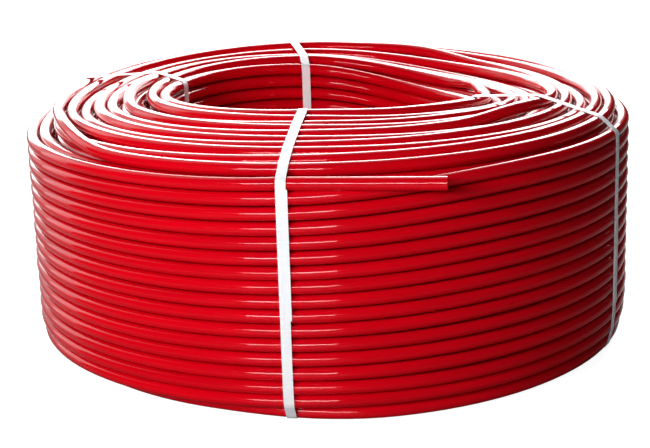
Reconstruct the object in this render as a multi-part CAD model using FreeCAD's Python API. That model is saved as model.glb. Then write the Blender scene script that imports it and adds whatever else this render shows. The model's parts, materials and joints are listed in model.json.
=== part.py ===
import FreeCAD, Part
import math
import os

# A strapped coil of plastic pipe, standing on its end on a level floor.
# Frame: origin on the floor under the coil's centre, +Z up along the coil's axis.
# The free end of the pipe leaves the front (-Y side) towards +X. Millimetres and degrees.

# Driving dimensions of the coil
coil_od = 800.0            # over the outermost turns
bore_dia = 410.0           # clear hole through the middle
shoulder_height = 293.0    # floor to the top of the outermost column of turns
rim_height = 334.0         # floor to the top of the turns round the bore
foot_draw_in = 6.5         # how much further in the lowest outside turn lies

# The pipe
pipe_od = 16.0
pipe_wall = 2.0
groove_depth = 4.0         # depth of the hollow between two neighbouring turns
bore_land = 3.0            # width of the flat along the crest of each turn in the bore
layer_play = 1.8           # how much further apart than a pipe's width the layers lie

# The straps
strap_width = 12.0
strap_thickness = 0.7
strap_edge_gap = 0.0122    # air between the edges of a strap and the bore's round wall
strap_angles = {
    "strap_front": -98.0,
    "strap_right": -27.0,
    "strap_back": 98.0,
    "strap_left": 160.0,
}

# The free end of the pipe
free_end_length = 176.0    # from the face where it leaves the coil to its cut end
free_end_past_strap = 1.0  # from the edge of the front strap to that face
free_end_gap = 1.2         # air round the free end where it runs along the coil
pocket_angle = 75.0        # how far round the place of the missing turn stays open

# Worked out from the above
pipe_r = pipe_od / 2
outside_r = coil_od / 2 - pipe_r
bore_r = bore_dia / 2
# A flat strap lies on the round bore by its two edges, so a wider one stands further off it
strap_gap = bore_r - math.sqrt(bore_r ** 2 - (strap_width / 2) ** 2) + strap_edge_gap
strap_stack = strap_gap + strap_thickness
bore_centre_r = bore_r + math.sqrt(pipe_r ** 2 - (bore_land / 2) ** 2)
bottom_z = strap_stack + pipe_r
shoulder_z = shoulder_height - pipe_r
rim_z = rim_height - pipe_r


def centres_between(start, end):
    """Pipe centres from start up to, but without, end, a turn's spacing apart or a little more.

    Up and down the turns lie against each other. From layer to layer there is some play.
    """
    length = math.dist(start, end)
    across = abs(end[0] - start[0]) > abs(end[1] - start[1])
    spacing = pipe_od + layer_play if across else pipe_od
    spaces = max(1, int(length / spacing))
    step = [(e - s) / spaces for s, e in zip(start, end)]
    return [(start[0] + step[0] * i, start[1] + step[1] * i) for i in range(spaces)]


def section_corners():
    """The corners of the winding's section as pipe centres (radius, height), anticlockwise."""
    foot = (outside_r - foot_draw_in, bottom_z)
    above_foot = (outside_r, bottom_z + pipe_od)
    shoulder = (outside_r, shoulder_z)
    rim = (bore_centre_r, rim_z)
    bore_foot = (bore_centre_r, bottom_z)
    return [foot, above_foot, shoulder, rim, bore_foot]


def point(radius, height):
    return FreeCAD.Vector(radius, 0, height)


def on_circle(centre, angle):
    return point(centre[0] + pipe_r * math.cos(angle), centre[1] + pipe_r * math.sin(angle))


def arc_edge(centre, start, end):
    """Edge along a turn's own circle from angle start to angle end, anticlockwise."""
    middle = on_circle(centre, (start + end) / 2)
    return Part.Arc(on_circle(centre, start), middle, on_circle(centre, end)).toShape()


def turn_edges(before, centre, after):
    """The outer face of one turn, from the hollow before it to the hollow after it."""
    web_angle = math.acos((pipe_r - groove_depth) / pipe_r)
    normal_in = math.atan2(before[0] - centre[0], centre[1] - before[1])
    normal_out = math.atan2(centre[0] - after[0], after[1] - centre[1])
    turn = (normal_out - normal_in + math.pi) % (2 * math.pi) - math.pi
    start = normal_in - web_angle
    end = normal_in + turn + web_angle
    if abs(centre[0] - bore_centre_r) > 0.001:
        return [arc_edge(centre, start, end)]
    # In the bore the crest is a flat, so that together the turns hold a true cylinder
    land_half = math.asin(bore_land / 2 / pipe_r)
    inward = math.pi
    while inward < start:
        inward += 2 * math.pi
    while inward > end:
        inward -= 2 * math.pi
    land_start = on_circle(centre, inward - land_half)
    land_end = on_circle(centre, inward + land_half)
    return [
        arc_edge(centre, start, inward - land_half),
        Part.LineSegment(land_start, land_end).toShape(),
        arc_edge(centre, inward + land_half, end),
    ]


def coil_profile():
    """The half section of the whole winding: a turn's round face at each place on its outline."""
    corners = section_corners()
    centres = []
    for start, end in zip(corners, corners[1:] + corners[:1]):
        centres += centres_between(start, end)
    count = len(centres)
    edges = []
    for i, centre in enumerate(centres):
        turn = turn_edges(centres[i - 1], centre, centres[(i + 1) % count])
        if edges:
            last = edges[-1].Vertexes[-1].Point
            edges.append(Part.LineSegment(last, turn[0].Vertexes[0].Point).toShape())
        edges += turn
    closing = Part.LineSegment(edges[-1].Vertexes[-1].Point, edges[0].Vertexes[0].Point)
    edges.append(closing.toShape())
    return Part.Face(Part.Wire(edges))


def turned(face, start_angle, sweep):
    """A section turned about the coil's axis from start_angle through sweep."""
    placed = face.copy()
    placed.rotate(FreeCAD.Vector(0, 0, 0), FreeCAD.Vector(0, 0, 1), start_angle)
    return placed.revolve(FreeCAD.Vector(0, 0, 0), FreeCAD.Vector(0, 0, 1), sweep)


def free_end_angle():
    """Where round the coil the free end leaves: just past the edge of the front strap."""
    along = strap_width / 2 + free_end_past_strap
    return strap_angles["strap_front"] + math.degrees(math.asin(along / outside_r))


def pocket():
    """The place of the outermost top turn over the sector where the pipe has left it."""
    inner = outside_r - pipe_r - free_end_gap
    outer = coil_od / 2 + pipe_od
    floor = shoulder_z - pipe_r - free_end_gap
    top = rim_height + pipe_od
    corners = [point(inner, floor), point(outer, floor), point(outer, top), point(inner, top)]
    section = Part.Face(Part.makePolygon(corners + corners[:1]))
    return turned(section, free_end_angle(), pocket_angle)


def make_coil():
    return turned(coil_profile(), 0, 360).cut(pocket())


def make_free_end():
    """The straight length of pipe that leaves the coil along its tangent."""
    angle = math.radians(free_end_angle())
    start = FreeCAD.Vector(outside_r * math.cos(angle), outside_r * math.sin(angle), shoulder_z)
    along = FreeCAD.Vector(-math.sin(angle), math.cos(angle), 0)
    outside = Part.makeCylinder(pipe_r, free_end_length, start, along)
    inside = Part.makeCylinder(pipe_r - pipe_wall, free_end_length, start, along)
    return outside.cut(inside)


def strap_loop(distance):
    """A closed line round the winding's section, distance outside the pipe centres."""
    corners = [point(*corner) for corner in section_corners()]
    outline = Part.makePolygon(corners + corners[:1])
    return outline.makeOffset2D(distance, 0, False, False, False)


def make_strap(angle):
    """A flat band through the bore and round the outside, welded to itself as one loop."""
    inner = Part.Face(strap_loop(pipe_r + strap_gap))
    outer = Part.Face(strap_loop(pipe_r + strap_stack))
    band = outer.cut(inner)
    band.translate(FreeCAD.Vector(0, -strap_width / 2, 0))
    strap = band.extrude(FreeCAD.Vector(0, strap_width, 0))
    strap.rotate(FreeCAD.Vector(0, 0, 0), FreeCAD.Vector(0, 0, 1), angle)
    return strap


os.makedirs("parts", exist_ok=True)
nodes = {"pipe_coil": make_coil(), "pipe_free_end": make_free_end()}
for name, angle in strap_angles.items():
    nodes[name] = make_strap(angle)
for name, shape in nodes.items():
    solids = shape.Solids
    solid = solids[0] if len(solids) == 1 else shape
    solid.exportStep("parts/" + name + ".step")
    print(name, "solids", len(solids), "valid", shape.isValid(), "volume", round(shape.Volume))
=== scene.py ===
import json
import logging
import math
from dataclasses import dataclass
from enum import Enum

import bpy
import numpy as np
from mathutils import Matrix, Vector


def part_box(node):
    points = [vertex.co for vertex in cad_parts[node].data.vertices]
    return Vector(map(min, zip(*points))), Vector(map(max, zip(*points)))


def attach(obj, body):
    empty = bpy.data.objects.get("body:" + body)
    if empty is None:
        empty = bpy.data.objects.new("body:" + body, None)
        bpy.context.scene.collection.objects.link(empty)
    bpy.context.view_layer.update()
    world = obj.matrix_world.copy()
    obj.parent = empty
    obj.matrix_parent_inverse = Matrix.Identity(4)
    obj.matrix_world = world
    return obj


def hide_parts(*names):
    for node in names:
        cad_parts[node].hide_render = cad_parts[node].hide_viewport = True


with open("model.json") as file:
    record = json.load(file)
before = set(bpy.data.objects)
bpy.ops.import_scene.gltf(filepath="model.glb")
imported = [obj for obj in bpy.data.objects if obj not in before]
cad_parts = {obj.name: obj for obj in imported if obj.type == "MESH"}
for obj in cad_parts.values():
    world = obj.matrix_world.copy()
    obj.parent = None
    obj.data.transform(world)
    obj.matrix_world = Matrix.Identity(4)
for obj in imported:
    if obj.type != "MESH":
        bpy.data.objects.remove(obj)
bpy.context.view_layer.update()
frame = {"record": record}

log = logging.getLogger("coil")

BODY = "root"
TURN = 2 * math.pi


class Slot(Enum):
    """The record's material slots."""

    PIPE = "pipe"
    STRAP = "strap"


# ---------------------------------------------------------------------------
# Small tools
# ---------------------------------------------------------------------------


def ease(t: np.ndarray) -> np.ndarray:
    """A smooth step.

    Args:
        t: How far along, where 0 is the start and 1 the end; clipped outside.

    Returns:
        The eased share, flat at both ends.
    """
    t = np.clip(t, 0.0, 1.0)
    return t * t * (3 - 2 * t)


def mount(name: str) -> dict:
    """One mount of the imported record, by its name."""
    return next(m for m in frame["record"]["mounts"] if m["name"] == name)


def deselect_all() -> None:
    """Leave edit mode and clear the selection."""
    if bpy.context.mode != "OBJECT":
        bpy.ops.object.mode_set(mode="OBJECT")
    bpy.ops.object.select_all(action="DESELECT")


def make_active(piece: bpy.types.Object) -> None:
    """Select one object alone and make it active."""
    deselect_all()
    piece.select_set(True)
    bpy.context.view_layer.objects.active = piece


@dataclass(frozen=True)
class AroundCoil:
    """A value that changes smoothly round the coil.

    It is given as (degrees, value) pairs, with 0 along +X and turning anticlockwise from above.
    """

    marks: tuple[tuple[float, float], ...]

    def at(self, turns: np.ndarray) -> np.ndarray:
        """The value at some places round the coil.

        Args:
            turns: Angles in whole turns, of any size.

        Returns:
            The value at each angle, by a periodic cubic through the marks.
        """
        marks = sorted(((deg / 360.0) % 1.0, value) for deg, value in self.marks)
        x = np.array([m[0] for m in marks])
        y = np.array([m[1] for m in marks])
        count = len(x)
        t = np.mod(np.asarray(turns, float), 1.0)
        low = (np.searchsorted(x, t, side="right") - 1) % count
        high = (low + 1) % count
        ahead = np.mod(np.roll(x, -1) - x, 1.0)
        behind = np.roll(ahead, 1)
        slope = (np.roll(y, -1) - np.roll(y, 1)) / (ahead + behind)
        width = ahead[low]
        s = np.mod(t - x[low], 1.0) / width
        start = y[low] * (1 + 2 * s) * (1 - s) ** 2 + slope[low] * width * s * (1 - s) ** 2
        end = y[high] * (3 - 2 * s) * s ** 2 + slope[high] * width * (s - 1) * s ** 2
        return start + end


class Waver:
    """A smooth, seeded unevenness along the pipe or round the coil."""

    def __init__(self, seed: int, rates: tuple[float, ...]) -> None:
        """Draw the phases.

        Args:
            seed: Seed of the draw.
            rates: Waves for each turn; whole numbers make it repeat every turn.
        """
        draw = np.random.default_rng(seed)
        self.rates = np.array(rates)
        self.phases = draw.uniform(0, 1, len(rates))
        self.shares = draw.uniform(0.5, 1.0, len(rates)) / np.sqrt(np.arange(1, len(rates) + 1))
        self.shares /= np.abs(self.shares).sum()

    def at(self, turns: np.ndarray) -> np.ndarray:
        """The unevenness, between -1 and 1, at angles given in turns."""
        waves = np.sin(TURN * (np.outer(np.ravel(turns), self.rates) + self.phases))
        return (waves @ self.shares).reshape(np.shape(turns))


def tube_mesh(name: str, centres: np.ndarray, radius: float, sides: int,
              start_length: float = 0.0) -> bpy.types.Object:
    """A closed round tube along a line of centres that runs nearly level.

    Its UV map is in metres: along the pipe, then round it.

    Args:
        name: Name of the new object.
        centres: The centre line, one row for each ring of the tube.
        radius: Outside radius.
        sides: Faces round the tube.
        start_length: Length of pipe that comes before the first centre.

    Returns:
        The new object, at the origin.
    """
    along = np.gradient(centres, axis=0)
    along /= np.linalg.norm(along, axis=1)[:, None]
    outward = np.cross(along, (0.0, 0.0, 1.0))
    outward /= np.linalg.norm(outward, axis=1)[:, None]
    upward = np.cross(outward, along)
    angles = TURN * np.arange(sides) / sides
    ring = np.cos(angles)[None, :, None] * outward[:, None, :]
    ring = ring + np.sin(angles)[None, :, None] * upward[:, None, :]
    points = (centres[:, None, :] + radius * ring).reshape(-1, 3)
    count = len(centres)
    k, j = np.meshgrid(np.arange(count - 1), np.arange(sides), indexing="ij")
    following = (j + 1) % sides
    quads = np.stack([k * sides + j, (k + 1) * sides + j,
                      (k + 1) * sides + following, k * sides + following], -1).reshape(-1, 4)
    last_ring = (count - 1) * sides
    start_cap = list(range(sides))
    end_cap = [last_ring + i for i in reversed(range(sides))]
    mesh = bpy.data.meshes.new(name)
    mesh.from_pydata(points.tolist(), [], quads.tolist() + [start_cap, end_cap])
    mesh.update()
    steps = np.linalg.norm(np.diff(centres, axis=0), axis=1)
    lengths = start_length + np.concatenate([[0.0], np.cumsum(steps)])
    across = TURN * radius / sides
    corner_u = np.stack([lengths[k], lengths[k + 1], lengths[k + 1], lengths[k]], -1)
    corner_v = across * np.stack([j, j, j + 1, j + 1], -1)
    body_uv = np.stack([corner_u, corner_v], -1).reshape(-1, 2)
    cap_uv = np.stack([np.cos(angles), np.sin(angles)], -1) * radius
    uv = np.concatenate([body_uv, cap_uv, cap_uv])
    layer = mesh.uv_layers.new(name="UVMap")
    layer.data.foreach_set("uv", uv.astype(np.float32).ravel())
    mesh.polygons.foreach_set("use_smooth", [True] * len(quads) + [False, False])
    piece = bpy.data.objects.new(name, mesh)
    bpy.context.scene.collection.objects.link(piece)
    return piece


def hollow_out(piece: bpy.types.Object, cap: int, wall: float, depth: float,
               rim_round: float) -> None:
    """Open the flat cap of a tube into a bore with a slightly rounded rim.

    Args:
        piece: The tube.
        cap: Index of the cap among its faces.
        wall: Thickness of the pipe's wall.
        depth: How deep the bore goes.
        rim_round: Size of the small chamfer at each edge of the rim.
    """
    inward = -piece.data.polygons[cap].normal.copy()
    make_active(piece)
    bpy.ops.object.mode_set(mode="EDIT")
    bpy.ops.mesh.select_mode(type="FACE")
    bpy.ops.mesh.select_all(action="DESELECT")
    bpy.ops.object.mode_set(mode="OBJECT")
    piece.data.polygons[cap].select = True
    bpy.ops.object.mode_set(mode="EDIT")
    bpy.ops.mesh.inset(thickness=rim_round, depth=rim_round)
    bpy.ops.mesh.inset(thickness=wall - 2 * rim_round)
    bpy.ops.mesh.inset(thickness=rim_round, depth=-rim_round)
    bpy.ops.mesh.extrude_region_move(TRANSFORM_OT_translate={"value": tuple(inward * depth)})
    bpy.ops.object.mode_set(mode="OBJECT")
    make_active(piece)
    bpy.ops.object.shade_smooth_by_angle(angle=math.radians(35))


# ---------------------------------------------------------------------------
# Finishes
# ---------------------------------------------------------------------------


class NodeBoard:
    """A short way to add and join the nodes of one material."""

    def __init__(self, name: str) -> None:
        """Make an empty material with a Principled shader and its output."""
        self.material = bpy.data.materials.new(name)
        self.material.use_nodes = True
        self.tree = self.material.node_tree
        self.tree.nodes.clear()
        self.shader = self.add("ShaderNodeBsdfPrincipled")
        self.output = self.add("ShaderNodeOutputMaterial")
        self.join(self.shader.outputs[0], self.output.inputs["Surface"])

    def add(self, kind: str, **settings: object) -> bpy.types.Node:
        """A new node with some of its settings."""
        node = self.tree.nodes.new(kind)
        for key, value in settings.items():
            setattr(node, key, value)
        return node

    def join(self, source: bpy.types.NodeSocket, target: bpy.types.NodeSocket) -> None:
        """Join an output to an input."""
        self.tree.links.new(source, target)

    def maths(self, operation: str, first: object, second: object = None) -> bpy.types.NodeSocket:
        """A Math node on sockets or plain numbers.

        Args:
            operation: The node's operation.
            first: Its first input, a socket or a number.
            second: Its second input, if it has one.

        Returns:
            The result's socket.
        """
        node = self.add("ShaderNodeMath", operation=operation)
        for slot, value in enumerate((first, second)):
            if isinstance(value, bpy.types.NodeSocket):
                self.join(value, node.inputs[slot])
            elif value is not None:
                node.inputs[slot].default_value = value
        return node.outputs[0]

    def noise(self, vector: bpy.types.NodeSocket, scale: float,
              detail: float) -> bpy.types.NodeSocket:
        """A Noise node's value, from 0 to 1."""
        node = self.add("ShaderNodeTexNoise")
        node.inputs["Scale"].default_value = scale
        node.inputs["Detail"].default_value = detail
        self.join(vector, node.inputs["Vector"])
        return node.outputs[0]

    def spread(self, value: bpy.types.NodeSocket, low: float, high: float,
               to_low: float, to_high: float) -> bpy.types.NodeSocket:
        """A Map Range node that carries low..high to to_low..to_high."""
        node = self.add("ShaderNodeMapRange")
        numbers = {"From Min": low, "From Max": high, "To Min": to_low, "To Max": to_high}
        for name, number in numbers.items():
            node.inputs[name].default_value = number
        self.join(value, node.inputs["Value"])
        return node.outputs["Result"]

    def blend(self, share: bpy.types.NodeSocket, first: tuple, second: tuple) -> bpy.types.NodeSocket:
        """A colour between two, by a share from 0 to 1."""
        node = self.add("ShaderNodeMix", data_type="RGBA")
        self.join(share, node.inputs["Factor"])
        node.inputs["A"].default_value = (*first, 1.0)
        node.inputs["B"].default_value = (*second, 1.0)
        return node.outputs["Result"]

    def stretched(self, source: bpy.types.NodeSocket,
                  scale: tuple[float, float, float]) -> bpy.types.NodeSocket:
        """A vector scaled axis by axis."""
        node = self.add("ShaderNodeMapping")
        node.inputs["Scale"].default_value = scale
        self.join(source, node.inputs["Vector"])
        return node.outputs[0]

    def bump(self, height: bpy.types.NodeSocket, distance: float, strength: float,
             normal: bpy.types.NodeSocket | None = None) -> bpy.types.NodeSocket:
        """A Bump node's normal, on top of another one where given."""
        node = self.add("ShaderNodeBump")
        node.inputs["Distance"].default_value = distance
        node.inputs["Strength"].default_value = strength
        self.join(height, node.inputs["Height"])
        if normal is not None:
            self.join(normal, node.inputs["Normal"])
        return node.outputs[0]


@dataclass(frozen=True)
class PipeFinish:
    """Glossy red extruded polyethylene."""

    red: tuple[float, float, float] = (0.64, 0.0006, 0.0074)
    deep_red: tuple[float, float, float] = (0.54, 0.0004, 0.0066)
    gloss_low: float = 0.05
    gloss_high: float = 0.11
    line_depth: float = 0.00003
    ripple_depth: float = 0.00025

    def build(self) -> bpy.types.Material:
        """Make the material: slow colour changes, extrusion lines, faint ripples and scuffs."""
        board = NodeBoard("red_pipe")
        uv = board.add("ShaderNodeUVMap", uv_map="UVMap").outputs[0]
        place = board.add("ShaderNodeTexCoord").outputs["Object"]
        patches = board.noise(board.stretched(uv, (4.0, 30.0, 1.0)), 1.0, 3.0)
        share = board.spread(patches, 0.35, 0.70, 0.0, 1.0)
        board.join(board.blend(share, self.red, self.deep_red), board.shader.inputs["Base Color"])
        lines = board.noise(board.stretched(uv, (6.0, 900.0, 1.0)), 1.0, 2.0)
        scuffs = board.noise(board.stretched(uv, (60.0, 600.0, 1.0)), 1.0, 6.0)
        worn = board.spread(scuffs, 0.60, 0.74, 0.0, 0.10)
        rough = board.spread(lines, 0.3, 0.7, self.gloss_low, self.gloss_high)
        board.join(board.maths("ADD", rough, worn), board.shader.inputs["Roughness"])
        ripple = board.noise(place, 22.0, 1.0)
        normal = board.bump(ripple, self.ripple_depth, 0.6)
        normal = board.bump(lines, self.line_depth, 0.5, normal)
        board.join(normal, board.shader.inputs["Normal"])
        board.shader.inputs["IOR"].default_value = 1.52
        board.shader.inputs["Specular IOR Level"].default_value = 0.42
        return board.material


@dataclass(frozen=True)
class StrapFinish:
    """White polypropylene strapping with its fine embossed pattern."""

    white: tuple[float, float, float] = (0.95, 0.94, 0.96)
    shade: tuple[float, float, float] = (0.88, 0.86, 0.91)
    pattern_pitch: float = 0.0011
    pattern_depth: float = 0.00008

    def build(self) -> bpy.types.Material:
        """Make the material: crossed embossed lines over a faintly uneven white."""
        board = NodeBoard("white_strapping")
        uv = board.add("ShaderNodeUVMap", uv_map="UVMap").outputs[0]
        split = board.add("ShaderNodeSeparateXYZ")
        board.join(uv, split.inputs[0])
        wave = TURN / self.pattern_pitch
        one_way = board.maths("ADD", split.outputs[0], split.outputs[1])
        other_way = board.maths("SUBTRACT", split.outputs[0], split.outputs[1])
        first = board.maths("SINE", board.maths("MULTIPLY", one_way, wave))
        second = board.maths("SINE", board.maths("MULTIPLY", other_way, wave))
        emboss = board.maths("MULTIPLY", first, second)
        patches = board.noise(board.stretched(uv, (15.0, 60.0, 1.0)), 1.0, 3.0)
        share = board.spread(patches, 0.35, 0.75, 0.0, 1.0)
        board.join(board.blend(share, self.white, self.shade), board.shader.inputs["Base Color"])
        board.join(board.spread(patches, 0.3, 0.7, 0.32, 0.48), board.shader.inputs["Roughness"])
        board.join(board.bump(emboss, self.pattern_depth, 0.7), board.shader.inputs["Normal"])
        board.shader.inputs["Subsurface Weight"].default_value = 0.15
        board.shader.inputs["Subsurface Scale"].default_value = 0.002
        return board.material


# ---------------------------------------------------------------------------
# The wound pipe
# ---------------------------------------------------------------------------


@dataclass
class Winding:
    """The path of the pipe: helical layers that climb and sink in turn, from the bore outwards."""

    pipe_radius: float = 0.008
    layer_count: int = 11
    bottom_centre: float = 0.0088
    closest: float = 0.01612
    bore_centre: float = 0.21286
    outer_centre: float = 0.3920
    foot_draw_in: float = 0.0055
    change_sweep: float = 34.0 / 360.0
    change_lift: float = 0.0041
    # How unevenly the spare room lies between layers, and its drift round the coil for each
    # metre away from one height, which keeps the gaps from running straight down
    gap_contrast: float = 2.2
    gap_drift: float = 1.7
    drift_from: float = 0.31
    # The bore is a little wider on one side
    bore_widening: float = 0.0035
    widest_at: float = 0.47
    foot_height: float = 0.030
    # The outermost layer's turns rise late: the larger this is, the later
    late_rise: float = 0.35
    # Turns that the first and the sinking layers leave free at their ends
    inner_start_free: float = 0.06
    sinking_free: float = 0.10
    pitch_play: float = 0.28
    outer_play: float = 0.0007
    segment: float = 0.020
    outer_end_deg: float = -97.0
    # The inner layers' top turns lie evenly where they pass this bearing
    even_front_deg: float = -94.0
    far_lift: float = 0.45
    # Where each pair of layers changes over at the top, inner pair first
    top_changes: tuple[float, ...] = (20.0, 188.0, -38.0, 62.0, -150.0)
    # Heights of the pipe's centre at the top of the layer round the bore, of the last but one
    # and of the outermost one
    rim: AroundCoil = AroundCoil((
        (-98, 0.3250), (-70, 0.3200), (-40, 0.3120), (-5, 0.2970), (45, 0.2850), (98, 0.3130),
        (180, 0.3180)))
    ledge: AroundCoil = AroundCoil((
        (-147, 0.2932), (-98, 0.2956), (-62, 0.2965), (-27, 0.2980), (10, 0.3000), (45, 0.3060),
        (98, 0.3145), (150, 0.3051), (180, 0.2940)))
    shoulder: AroundCoil = AroundCoil((
        (-147, 0.2835), (-98, 0.2850), (-62, 0.2990), (-27, 0.2975), (10, 0.2950), (45, 0.3040),
        (98, 0.3110), (150, 0.2995), (-172, 0.2830)))
    seed: int = 7

    def spread(self, turns: np.ndarray, height: np.ndarray) -> np.ndarray:
        """Radius of every layer.

        Args:
            turns: Angles round the coil, in turns.
            height: Height above the lowest turn, in metres, at each angle.

        Returns:
            One row for each layer: its radius at each angle.
        """
        drawn = self.foot_draw_in * (1 - ease(height / self.foot_height))
        rounder = self.bore_widening * (1 + np.cos(TURN * (turns - self.widest_at)))
        inner = self.bore_centre + 0.5 * rounder
        total = self.outer_centre - drawn - inner
        slack = total - self.closest * (self.layer_count - 1)
        shares = []
        for i in range(self.layer_count - 1):
            waver = Waver(self.seed + 31 * i, (1, 2, 3, 1))
            uneven = waver.at(turns + self.gap_drift * (height - self.drift_from))
            shares.append(np.exp(self.gap_contrast * uneven))
        shares = np.array(shares)
        gaps = self.closest + slack * shares / shares.sum(0)
        return np.concatenate([inner[None], inner[None] + np.cumsum(gaps, 0)])

    def top(self, layer: int, turns: np.ndarray) -> np.ndarray:
        """Height of the pipe's centre at the top of a layer, at angles in turns."""
        if layer == self.layer_count - 1:
            return self.shoulder.at(turns)
        share = layer / (self.layer_count - 2)
        fall = 0.75 * share + 0.25 * share ** 6
        high = self.rim.at(turns) * (1 - fall) + self.ledge.at(turns) * fall
        change = self.top_changes[layer // 2] / 360.0
        front = self.even_front_deg / 360.0
        short = (change - front) % 1.0 if layer % 2 == 0 else (front - change) % 1.0
        near = 0.5 * (1 + np.cos(TURN * (np.asarray(turns) - front)))
        return high + self.closest * (short * near + self.far_lift * (1 - near))

    def risen_late(self, part: np.ndarray) -> np.ndarray:
        """A share of a turn's rise, from 0 to 1, that stays low for longer."""
        return part ** 2 * (1 + self.late_rise) / (part + self.late_rise)

    def layer_turns(self) -> tuple[list[float], list[float]]:
        """How many turns each layer has, and where each begins.

        Returns:
            The turns of each layer, and the angle in turns where each begins, counted on
            and on along the pipe.
        """
        round_it = np.linspace(0, 1, 181)
        ends: list[float | None] = [None] * self.layer_count
        ends[:-1:2] = self.top_changes
        ends[-2:] = [self.outer_end_deg] * 2
        most = [(self.top(i, round_it).min() - self.bottom_centre) / (self.closest + 0.00002)
                for i in range(self.layer_count)]
        counts: list[float] = []
        begins: list[float] = []
        start = ends[0] / 360.0 - (most[0] - self.inner_start_free)
        for layer in range(self.layer_count):
            begins.append(start)
            if ends[layer] is None:
                count = most[layer] - self.sinking_free
            else:
                part = (ends[layer] / 360.0 - start) % 1.0
                count = math.floor(most[layer] - part) + part
            counts.append(count)
            start += count
        return counts, begins

    def path(self) -> np.ndarray:
        """The whole pipe's centre line, from its inner end to where it leaves the coil.

        Returns:
            Points in metres, one row each, evenly spaced along the pipe.
        """
        counts, begins = self.layer_turns()
        half = self.change_sweep / 2
        samples = []
        for layer, (count, begin) in enumerate(zip(counts, begins)):
            share = layer / (self.layer_count - 1)
            radius = self.bore_centre * (1 - share) + self.outer_centre * share
            steps = int(round(count * TURN * radius / self.segment))
            samples.append(begin + count * np.arange(steps) / steps)
        turns = np.concatenate(samples + [[begins[-1] + counts[-1]]])
        radius = np.zeros_like(turns)
        height = np.zeros_like(turns)
        uneven = Waver(self.seed + 5, (0.37, 1.13, 1.9, 2.7, 4.3))
        for layer, (count, begin) in enumerate(zip(counts, begins)):
            first = layer == 0
            last = layer == self.layer_count - 1
            low = -np.inf if first else begin - half
            high = np.inf if last else begin + count + half
            here = (turns >= low) & (turns <= high)
            t = turns[here]
            weight = np.ones_like(t)
            if not first:
                weight *= ease((t - low) / self.change_sweep)
            if not last:
                weight *= ease((high - t) / self.change_sweep)
            done = np.clip(t - begin, 0, count)
            rows = done if layer % 2 == 0 else count - done
            if last:
                rows = np.where(rows < 1, self.risen_late(np.clip(rows, 0, 1)), rows)
                whole = np.floor(rows)
                rows = whole + self.risen_late(rows - whole)
            pitch = (self.top(layer, t) - self.bottom_centre) / count
            away_from_ends = np.clip(np.minimum(rows, count - rows) / 0.5, 0, 1)
            play = self.pitch_play * (pitch - 2 * self.pipe_radius) * away_from_ends
            z = self.bottom_centre + rows * pitch + play * uneven.at(t)
            r = self.spread(t, z - self.bottom_centre)[layer]
            if last:
                clear_of_ends = np.clip(np.minimum(rows / 0.5, (count - done) / 0.25), 0, 1)
                r = r + self.outer_play * (1 + uneven.at(t + 0.31)) * clear_of_ends
            radius[here] += weight * r
            height[here] += weight * z
        for layer in range(0, self.layer_count - 1, 2):
            at = begins[layer] + counts[layer]
            bump = np.clip(1 - np.abs(turns - at) / (1.2 * half), 0, 1)
            height += self.change_lift * ease(bump)
        angle = TURN * turns
        return np.stack([radius * np.cos(angle), radius * np.sin(angle), height], -1)


class PipeCoil:
    """The wound length of pipe, as a few runs of tube that follow one another."""

    end_depth: float = 0.012
    end_round: float = 0.0003

    def __init__(self, winding: Winding, wall: float, runs: int = 4, sides: int = 16) -> None:
        """Take the winding, the pipe's wall, the number of runs and the faces round the pipe."""
        self.winding = winding
        self.wall = wall
        self.runs = runs
        self.sides = sides
        self.centres = winding.path()

    def build(self, material: bpy.types.Material) -> list[bpy.types.Object]:
        """Make the runs.

        Args:
            material: The pipe's finish.

        Returns:
            The new pieces, from the bore outwards.
        """
        pieces = []
        steps = np.linalg.norm(np.diff(self.centres, axis=0), axis=1)
        lengths = np.concatenate([[0.0], np.cumsum(steps)])
        cuts = np.linspace(0, len(self.centres) - 1, self.runs + 1).astype(int)
        for number, (start, end) in enumerate(zip(cuts, cuts[1:]), 1):
            name = f"pipe_coil_run_{number}"
            piece = tube_mesh(name, self.centres[start:end + 1], self.winding.pipe_radius,
                              self.sides, lengths[start])
            if start == 0:
                start_cap = len(piece.data.polygons) - 2
                hollow_out(piece, start_cap, self.wall, self.end_depth, self.end_round)
            piece.data.materials.append(material)
            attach(piece, BODY)
            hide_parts("pipe_coil")
            pieces.append(piece)
        log.info("pipe coil: %.1f m of pipe in %d runs", lengths[-1], self.runs)
        return pieces


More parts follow.
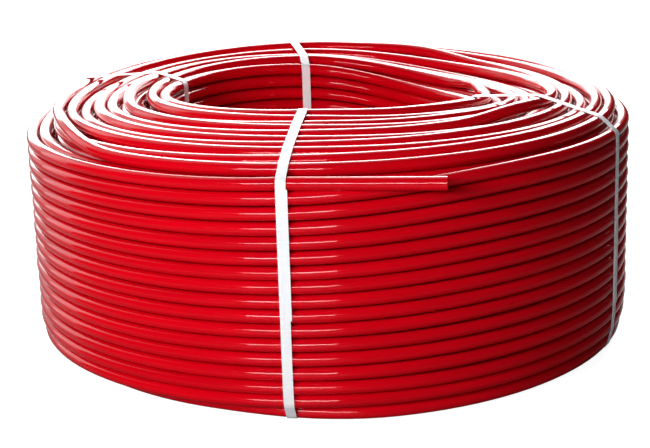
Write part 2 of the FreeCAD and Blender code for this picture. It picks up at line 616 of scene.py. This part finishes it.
@dataclass
class FreeEnd:
    """The straight end of the pipe, hollow where it is cut."""

    start: Vector
    along: Vector
    length: float
    radius: float
    bore: float
    bore_depth: float = 0.09
    bow: float = 0.0012
    sides: int = 32
    rim_round: float = 0.0008

    @classmethod
    def from_frame(cls) -> "FreeEnd":
        """Read where it leaves the coil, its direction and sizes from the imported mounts."""
        inside, outside = mount("pipe_end_bore"), mount("pipe_end_outside")
        along = Vector(inside["axis"]).normalized()
        length = inside["dims"]["length_mm"] / 1000
        start = Vector(inside["pos_m"]) - along * length / 2
        radius, bore = outside["dims"]["r_mm"] / 1000, inside["dims"]["r_mm"] / 1000
        return cls(start, along, length, radius, bore)

    def route(self) -> np.ndarray:
        """Points read from the free end's own smooth spline."""
        outward = self.along.cross(Vector((0, 0, 1)))
        points = [self.start, self.start + self.along * self.length / 2 + outward * self.bow,
                  self.start + self.along * self.length]
        data = bpy.data.curves.new("free_end_line", "CURVE")
        data.dimensions = "3D"
        data.resolution_u = 12
        spline = data.splines.new("NURBS")
        spline.points.add(len(points) - 1)
        for point, place in zip(spline.points, points):
            point.co = (*place, 1.0)
        spline.order_u = 3
        spline.use_endpoint_u = True
        line = bpy.data.objects.new("free_end_line", data)
        bpy.context.scene.collection.objects.link(line)
        mesh = bpy.data.meshes.new_from_object(line)
        route = np.array([v.co[:] for v in mesh.vertices])
        bpy.data.objects.remove(line)
        bpy.data.meshes.remove(mesh)
        return route

    def build(self, material: bpy.types.Material) -> bpy.types.Object:
        """Make the free end: a tube with its wall and bore at the cut.

        Args:
            material: The pipe's finish.

        Returns:
            The new piece.
        """
        route = self.route()
        piece = tube_mesh("pipe_free_end_cut", route, self.radius, self.sides)
        last_face = len(piece.data.polygons) - 1
        hollow_out(piece, last_face, self.radius - self.bore, self.bore_depth, self.rim_round)
        piece.data.materials.append(material)
        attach(piece, BODY)
        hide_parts("pipe_free_end")
        log.info("free end: %.0f mm", 1000 * self.length)
        return piece


# ---------------------------------------------------------------------------
# Straps
# ---------------------------------------------------------------------------


def hull(points: np.ndarray) -> np.ndarray:
    """The convex outline of some points in a plane, anticlockwise."""
    order = sorted(map(tuple, points))

    def half(sequence: list) -> list:
        """One side of the outline."""
        chain: list = []
        for p in sequence:
            while len(chain) > 1:
                (ax, ay), (bx, by) = chain[-2], chain[-1]
                if (bx - ax) * (p[1] - ay) - (by - ay) * (p[0] - ax) > 0:
                    break
                chain.pop()
            chain.append(p)
        return chain[:-1]

    return np.array(half(order) + half(order[::-1]))


@dataclass
class Strap:
    """A flat band pulled tight through the bore and round the outside, with a welded lap."""

    node: str
    centres: np.ndarray
    lap_from: float
    lap_to: float
    lap_shift: float = 0.0
    width: float = 0.012
    thickness: float = 0.0007
    gap: float = 0.0001
    edge: float = 0.0002
    pipe_radius: float = 0.008
    spacing: float = 0.004
    # Turns whose centres lie this far past its edges still bear on it
    reach: float = 0.012
    # The outside is at least this far out from the middle of its own line
    outside_from: float = 0.03

    def __post_init__(self) -> None:
        """Take the strap's bearing from its CAD node."""
        low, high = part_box(self.node)
        middle = (low + high) / 2
        self.angle = math.atan2(middle.y, middle.x)
        self.outward = np.array([math.cos(self.angle), math.sin(self.angle), 0.0])
        self.sideways = np.array([-math.sin(self.angle), math.cos(self.angle), 0.0])

    def outline(self) -> np.ndarray:
        """The strap's own line round the turns it crosses, as (outward, height) points."""
        across = self.centres @ self.sideways
        out = self.centres @ self.outward
        near = (np.abs(across) < self.width / 2 + self.reach) & (out > 0)
        section = np.stack([out[near], self.centres[near][:, 2]], -1)
        angles = TURN * np.arange(40) / 40
        rim = (self.pipe_radius + self.gap) * np.stack([np.cos(angles), np.sin(angles)], -1)
        loop = hull((section[:, None, :] + rim[None]).reshape(-1, 2))
        return self.evened(loop)

    def evened(self, loop: np.ndarray) -> np.ndarray:
        """The closed loop cut into short, even steps that keep its corners round."""
        closed = np.concatenate([loop, loop[:1]])
        steps = np.linalg.norm(np.diff(closed, axis=0), axis=1)
        lengths = np.concatenate([[0.0], np.cumsum(steps)])
        count = int(lengths[-1] / self.spacing)
        at = lengths[-1] * np.arange(count) / count
        columns = [np.interp(at, lengths, closed[:, k]) for k in range(2)]
        return np.stack(columns, -1)

    def section(self) -> np.ndarray:
        """The band's cross section as (sideways, away from the pipe) points, rounded at its edges."""
        w, t, e = self.width / 2, self.thickness, self.edge
        return np.array([(-w + e, 0), (w - e, 0), (w, e), (w, t - e),
                         (w - e, t), (-w + e, t), (-w, t - e), (-w, e)])

    def band(self, line: np.ndarray, closed: bool, lift: np.ndarray, shift: np.ndarray,
             ) -> tuple[list, list, list]:
        """Sweep the cross section along a line.

        Args:
            line: (outward, height) points, anticlockwise.
            closed: Whether it joins up with its start.
            lift: How far off the turns it lies, at each point.
            shift: How far sideways it lies, at each point.

        Returns:
            Points, faces and a UV pair for each point.
        """
        if closed:
            ahead, behind = np.roll(line, -1, 0), np.roll(line, 1, 0)
        else:
            padded = np.concatenate([line[:1] * 2 - line[1:2], line, line[-1:] * 2 - line[-2:-1]])
            ahead, behind = padded[2:], padded[:-2]
        along = ahead - behind
        along /= np.linalg.norm(along, axis=1)[:, None]
        away = np.stack([along[:, 1], -along[:, 0]], -1)
        section = self.section()
        sides = len(section)
        points, uv = [], []
        steps = np.linalg.norm(np.diff(line, axis=0), axis=1)
        lengths = np.concatenate([[0.0], np.cumsum(steps)])
        for k, (out, height) in enumerate(line):
            for side, off in section:
                place = np.array([out, height]) + away[k] * (off + lift[k])
                point = self.outward * place[0] + self.sideways * (side + shift[k])
                points.append((point[0], point[1], place[1]))
                uv.append((lengths[k], side))
        count = len(line)
        faces = []
        for k in range(count if closed else count - 1):
            n = (k + 1) % count
            for j in range(sides):
                m = (j + 1) % sides
                faces.append((k * sides + j, n * sides + j, n * sides + m, k * sides + m))
        if not closed:
            faces.append(tuple(range(sides)))
            faces.append(tuple((count - 1) * sides + j for j in reversed(range(sides))))
        return points, faces, uv

    def build(self, material: bpy.types.Material) -> bpy.types.Object:
        """Make the strap with the second layer of its welded lap.

        Args:
            material: The strapping's finish.

        Returns:
            The new piece.
        """
        line = self.outline()
        flat = np.zeros(len(line))
        points, faces, uv = self.band(line, True, flat, flat)
        outside = line[:, 0] > np.median(line[:, 0]) + self.outside_from
        lap = outside & (line[:, 1] > self.lap_from) & (line[:, 1] < self.lap_to)
        lap_line = line[lap]
        lap_line = lap_line[np.argsort(lap_line[:, 1])]
        high = np.full(len(lap_line), self.thickness + 0.00005)
        shift = np.full(len(lap_line), self.lap_shift)
        more_points, more_faces, more_uv = self.band(lap_line, False, high, shift)
        base = len(points)
        points += more_points
        faces += [tuple(base + i for i in face) for face in more_faces]
        uv += more_uv
        mesh = bpy.data.meshes.new(self.node + "_band")
        mesh.from_pydata(points, [], faces)
        layer = mesh.uv_layers.new(name="UVMap")
        for loop in mesh.loops:
            layer.data[loop.index].uv = uv[loop.vertex_index]
        piece = bpy.data.objects.new(self.node + "_band", mesh)
        bpy.context.scene.collection.objects.link(piece)
        make_active(piece)
        bpy.ops.object.mode_set(mode="EDIT")
        bpy.ops.mesh.select_all(action="SELECT")
        bpy.ops.mesh.normals_make_consistent(inside=False)
        bpy.ops.object.mode_set(mode="OBJECT")
        bpy.ops.object.shade_smooth_by_angle(angle=math.radians(30))
        mesh.materials.append(material)
        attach(piece, BODY)
        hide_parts(self.node)
        log.info("%s: %d faces", piece.name, len(faces))
        return piece


# ---------------------------------------------------------------------------
# Studio
# ---------------------------------------------------------------------------


@dataclass(frozen=True)
class SoftLamp:
    """A rectangular studio lamp that faces a point of the coil."""

    name: str
    place: tuple[float, float, float]
    target: tuple[float, float, float]
    size: tuple[float, float]
    power: float
    mirrored: bool = True

    def build(self) -> None:
        """Add the lamp to the scene."""
        data = bpy.data.lights.new(self.name, "AREA")
        data.shape = "RECTANGLE"
        data.size, data.size_y = self.size
        data.energy = self.power
        lamp = bpy.data.objects.new(self.name, data)
        lamp.location = self.place
        facing = Vector(self.target) - Vector(self.place)
        lamp.rotation_euler = facing.to_track_quat("-Z", "Y").to_euler()
        lamp.visible_glossy = self.mirrored
        bpy.context.scene.collection.objects.link(lamp)


@dataclass
class Studio:
    """Camera, floor, surroundings and lamps."""

    camera_place: tuple[float, float, float] = (-0.0078, -2.0102, 0.6965)
    camera_down: float = 0.27604
    camera_roll: float = -0.03163
    focal_length: float = 83.9
    surround: float = 0.015
    # Reflections turn white on this side, from one share of its direction to another
    bright_side: tuple[float, float, float] = (-0.34, 0.74, 0.62)
    bright_from: float = 0.60
    bright_full: float = 0.86
    floor_size: float = 14.0
    floor_pale: tuple[float, float, float] = (0.36, 0.36, 0.37)
    # The floor's colour as seen in reflections only, far darker than its own: a painted dark
    # reflection on the lower halves of the turns
    floor_painted_dark_reflection: tuple[float, float, float] = (0.08, 0.08, 0.08)
    floor_glow: float = 0.91
    lamps: tuple[SoftLamp, ...] = (
        SoftLamp("back_box", (0.1, 2.2, 1.7), (0, 0, 0.3), (3.2, 1.4), 165.0),
        SoftLamp("back_low", (-0.4, 3.0, 0.80), (0, 0, 0.3), (3.4, 0.9), 30.0),
        SoftLamp("left_panel", (-2.1, 0.9, 0.8), (-0.2, 0, 0.2), (0.9, 1.5), 5.0),
        SoftLamp("key_box", (-1.00, -1.43, 0.80), (0.0, 0.0, 0.15), (0.5, 0.4), 17.2, False),
        SoftLamp("front_strip", (-0.68, -2.5, 1.0), (0, -0.3, 0.2), (1.4, 0.20), 25.0),
    )

    def build(self) -> None:
        """Put up the studio."""
        self.add_camera()
        self.add_surround()
        self.add_floor()
        for lamp in self.lamps:
            lamp.build()
        bpy.context.scene.view_settings.view_transform = "Standard"

    def add_camera(self) -> None:
        """Add the camera and make it the scene's own."""
        data = bpy.data.cameras.new("camera")
        data.lens = self.focal_length
        camera = bpy.data.objects.new("camera", data)
        turned = Matrix.Rotation(math.pi / 2 - self.camera_down, 4, "X")
        turned = turned @ Matrix.Rotation(self.camera_roll, 4, "Z")
        camera.matrix_world = Matrix.Translation(self.camera_place) @ turned
        bpy.context.scene.collection.objects.link(camera)
        bpy.context.scene.camera = camera

    def add_surround(self) -> None:
        """White where it is seen directly, or mirrored behind the coil; plain dim light elsewhere."""
        world = bpy.data.worlds.new("surround")
        world.use_nodes = True
        bpy.context.scene.world = world
        tree = world.node_tree
        tree.nodes.clear()
        path = tree.nodes.new("ShaderNodeLightPath")
        seen = tree.nodes.new("ShaderNodeMath")
        seen.operation = "MAXIMUM"
        through = tree.nodes.new("ShaderNodeMath")
        through.operation = "MAXIMUM"
        tree.links.new(path.outputs["Is Camera Ray"], seen.inputs[0])
        tree.links.new(path.outputs["Is Transmission Ray"], seen.inputs[1])
        tree.links.new(seen.outputs[0], through.inputs[0])
        direction = tree.nodes.new("ShaderNodeVectorMath")
        direction.operation = "DOT_PRODUCT"
        direction.inputs[1].default_value = self.bright_side
        tree.links.new(tree.nodes.new("ShaderNodeTexCoord").outputs["Generated"], direction.inputs[0])
        behind = tree.nodes.new("ShaderNodeMapRange")
        behind.interpolation_type = "SMOOTHSTEP"
        behind.inputs["From Min"].default_value = self.bright_from
        behind.inputs["From Max"].default_value = self.bright_full
        tree.links.new(direction.outputs["Value"], behind.inputs["Value"])
        mirrored = tree.nodes.new("ShaderNodeMath")
        mirrored.operation = "MULTIPLY"
        tree.links.new(path.outputs["Is Glossy Ray"], mirrored.inputs[0])
        tree.links.new(behind.outputs["Result"], mirrored.inputs[1])
        tree.links.new(mirrored.outputs[0], through.inputs[1])
        plain = tree.nodes.new("ShaderNodeBackground")
        plain.inputs["Strength"].default_value = self.surround
        white = tree.nodes.new("ShaderNodeBackground")
        white.inputs["Color"].default_value = (1, 1, 1, 1)
        white.inputs["Strength"].default_value = 1.0
        plain.inputs["Color"].default_value = (1, 1, 1, 1)
        mix = tree.nodes.new("ShaderNodeMixShader")
        output = tree.nodes.new("ShaderNodeOutputWorld")
        tree.links.new(through.outputs[0], mix.inputs[0])
        tree.links.new(plain.outputs[0], mix.inputs[1])
        tree.links.new(white.outputs[0], mix.inputs[2])
        tree.links.new(mix.outputs[0], output.inputs[0])

    def add_floor(self) -> None:
        """A wide pale floor that goes to white and keeps the coil's shadow; in reflections it turns
        dark, a painted dark reflection on the lower halves of the turns.
        """
        deselect_all()
        bpy.ops.mesh.primitive_plane_add(size=self.floor_size, location=(0, 0, 0))
        floor = bpy.context.active_object
        floor.name = "floor"
        board = NodeBoard("pale_floor")
        path = board.add("ShaderNodeLightPath")
        # Glossy rays see the dark colour in place of the pale one: painted dark reflection of the
        # floor on the pipe
        colour = board.blend(path.outputs["Is Glossy Ray"], self.floor_pale, self.floor_painted_dark_reflection)
        board.join(colour, board.shader.inputs["Base Color"])
        board.shader.inputs["Roughness"].default_value = 0.5
        glow = board.add("ShaderNodeEmission")
        strength = board.maths("MULTIPLY", path.outputs["Is Camera Ray"], self.floor_glow)
        board.join(strength, glow.inputs["Strength"])
        both = board.add("ShaderNodeAddShader")
        board.join(board.shader.outputs[0], both.inputs[0])
        board.join(glow.outputs[0], both.inputs[1])
        board.join(both.outputs[0], board.output.inputs["Surface"])
        floor.data.materials.append(board.material)


# ---------------------------------------------------------------------------
# The whole coil
# ---------------------------------------------------------------------------


def coil_winding(free_end: FreeEnd) -> Winding:
    """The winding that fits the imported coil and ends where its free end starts.

    Args:
        free_end: The straight end of the pipe.

    Returns:
        The winding.
    """
    low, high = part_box("pipe_coil")
    start = free_end.start
    return Winding(
        pipe_radius=free_end.radius,
        bottom_centre=low.z + free_end.radius,
        outer_centre=high.x - free_end.radius,
        outer_end_deg=math.degrees(math.atan2(start.y, start.x)),
    )


def main() -> None:
    """Build the scene: studio, free end, coil and straps."""
    logging.basicConfig(level=logging.INFO, format="%(name)s: %(message)s")
    Studio().build()
    red = PipeFinish().build()
    white = StrapFinish().build()
    free_end = FreeEnd.from_frame()
    free_end.build(red)
    coil = PipeCoil(coil_winding(free_end), free_end.radius - free_end.bore)
    coil.build(red)
    for node, lap_from, lap_to, lap_shift in (
        ("strap_front", 0.125, 0.284, 0.0017),
        ("strap_right", 0.060, 0.180, 0.0004),
        ("strap_back", 0.090, 0.230, -0.0010),
        ("strap_left", 0.080, 0.220, 0.0008),
    ):
        Strap(node, coil.centres, lap_from, lap_to, lap_shift).build(white)


if __name__ == "__main__":
    main()
